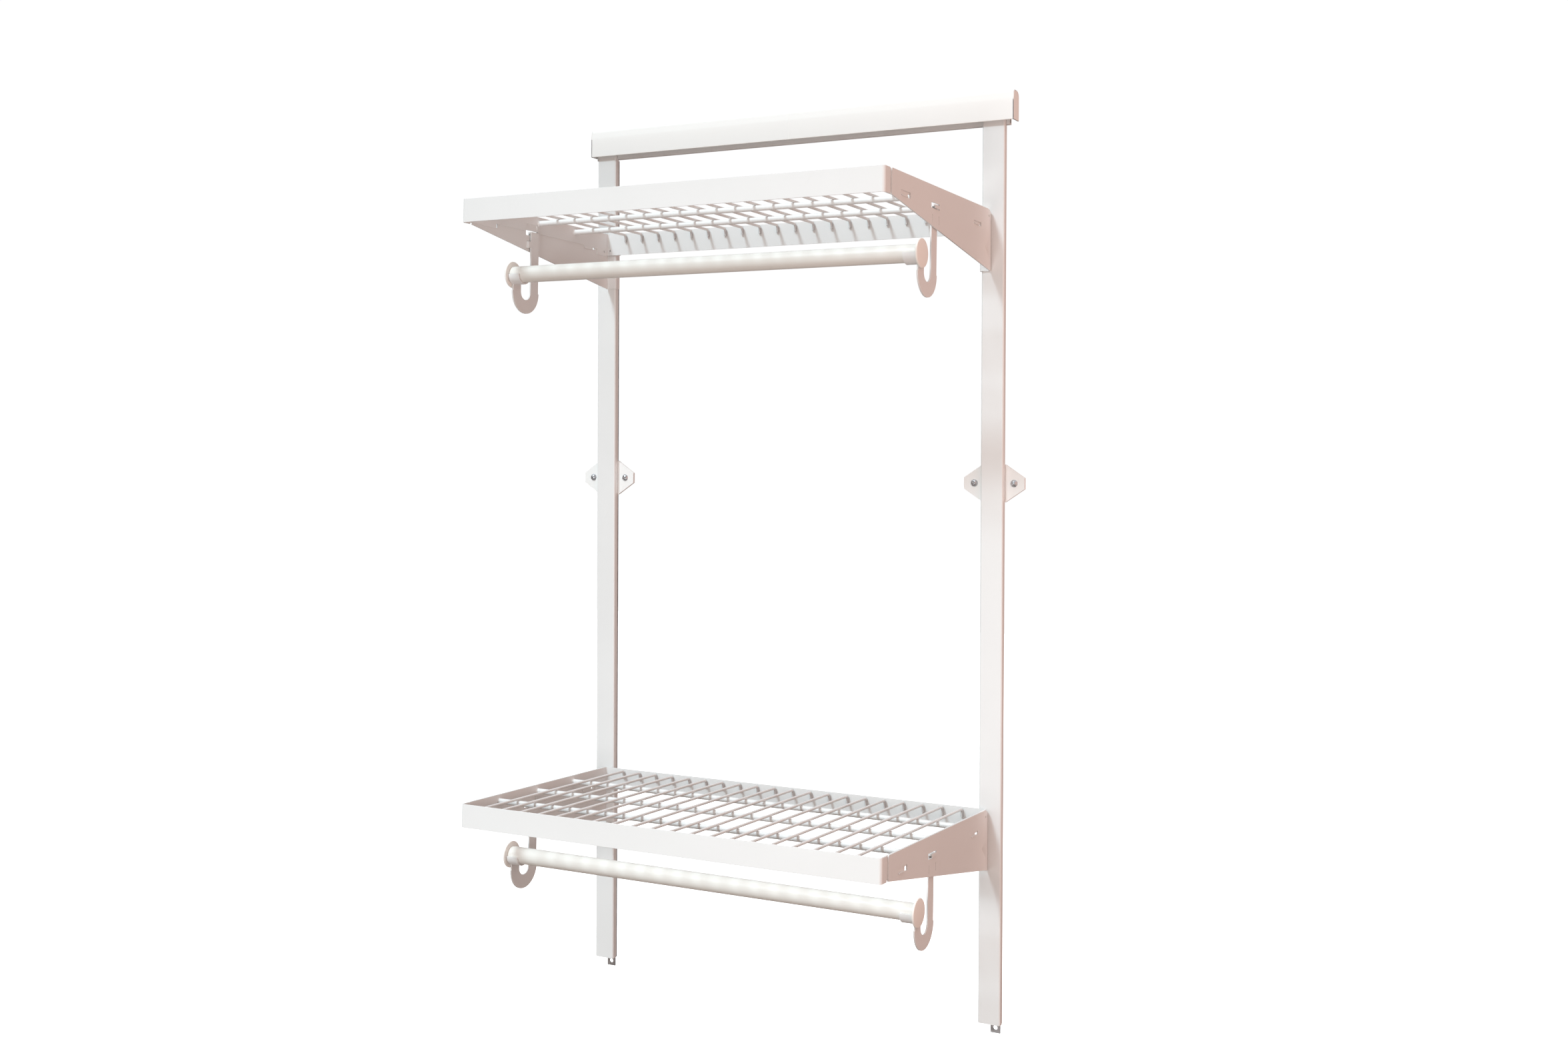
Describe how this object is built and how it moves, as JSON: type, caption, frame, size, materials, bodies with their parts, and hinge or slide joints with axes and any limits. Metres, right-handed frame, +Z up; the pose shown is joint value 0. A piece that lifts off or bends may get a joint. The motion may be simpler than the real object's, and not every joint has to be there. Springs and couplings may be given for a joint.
{
  "type": "wall-hung wardrobe rack",
  "caption": "Wall-hung wardrobe rack with a covered top rail, slotted uprights, wire shelves on hook-in brackets, and a clothes rod on J-shaped hangers below each shelf.",
  "frame": {"origin": "on the wall, at the middle of the rail's line of screw holes", "axes": "+X along the wall to the right as seen from the front, -Y out from the wall towards the front, +Z up"},
  "size_m": [0.684, 0.3498, 1.2278],
  "materials": {
    "white_coat": "smooth white powder coat",
    "rod_coat": "smooth off-white coat",
    "galvanised": "dull galvanised sheet",
    "cover_plastic": "satin white",
    "plate_plastic": "satin white",
    "cap_plastic": "satin cream white",
    "zinc": "bright zinc plate"
  },
  "bodies": {
    "wall_frame": {"hang_rail": "white_coat", "rail_cover_left": "cover_plastic", "rail_cover_right": "cover_plastic", "left_standard": "galvanised", "right_standard": "galvanised", "left_upright_cover": "white_coat", "right_upright_cover": "white_coat", "left_wall_plate": "plate_plastic", "right_wall_plate": "plate_plastic", "wall_plate_screws": "zinc"},
    "upper_rack": {"upper_left_bracket": "white_coat", "upper_right_bracket": "white_coat", "upper_shelf_frame": "white_coat", "upper_fascia": "white_coat", "upper_cross_rods": "white_coat", "upper_deck_wires": "white_coat", "upper_left_hanger": "white_coat", "upper_right_hanger": "white_coat"},
    "upper_rod_ends": {"upper_left_rod_cap": "cap_plastic", "upper_right_rod_cap": "cap_plastic"},
    "upper_rod_tube": {"upper_rod": "rod_coat"},
    "lower_rack": {"lower_left_bracket": "white_coat", "lower_right_bracket": "white_coat", "lower_shelf_frame": "white_coat", "lower_fascia": "white_coat", "lower_cross_rods": "white_coat", "lower_deck_wires": "white_coat", "lower_left_hanger": "white_coat", "lower_right_hanger": "white_coat"},
    "lower_rod_ends": {"lower_left_rod_cap": "cap_plastic", "lower_right_rod_cap": "cap_plastic"},
    "lower_rod_tube": {"lower_rod": "rod_coat"}
  },
  "joints": [
    {"name": "upper_rack_lift", "type": "slide", "parent": "wall_frame", "child": "upper_rack", "axis": [0, 0, 1], "range_m": [0, 0.003]},
    {"name": "upper_rod_lift", "type": "slide", "parent": "upper_rack", "child": "upper_rod_ends", "axis": [0, 0, 1], "range_m": [0, 0.02]},
    {"name": "upper_rod_roll", "type": "hinge", "parent": "upper_rod_ends", "child": "upper_rod_tube", "pos_m": [0, -0.24202, -0.21173], "axis": [1, 0, 0], "continuous": true},
    {"name": "lower_rack_lift", "type": "slide", "parent": "wall_frame", "child": "lower_rack", "axis": [0, 0, 1], "range_m": [0, 0.003]},
    {"name": "lower_rod_lift", "type": "slide", "parent": "lower_rack", "child": "lower_rod_ends", "axis": [0, 0, 1], "range_m": [0, 0.02]},
    {"name": "lower_rod_roll", "type": "hinge", "parent": "lower_rod_ends", "child": "lower_rod_tube", "pos_m": [0, -0.24202, -0.99173], "axis": [1, 0, 0], "continuous": true}
  ]
}
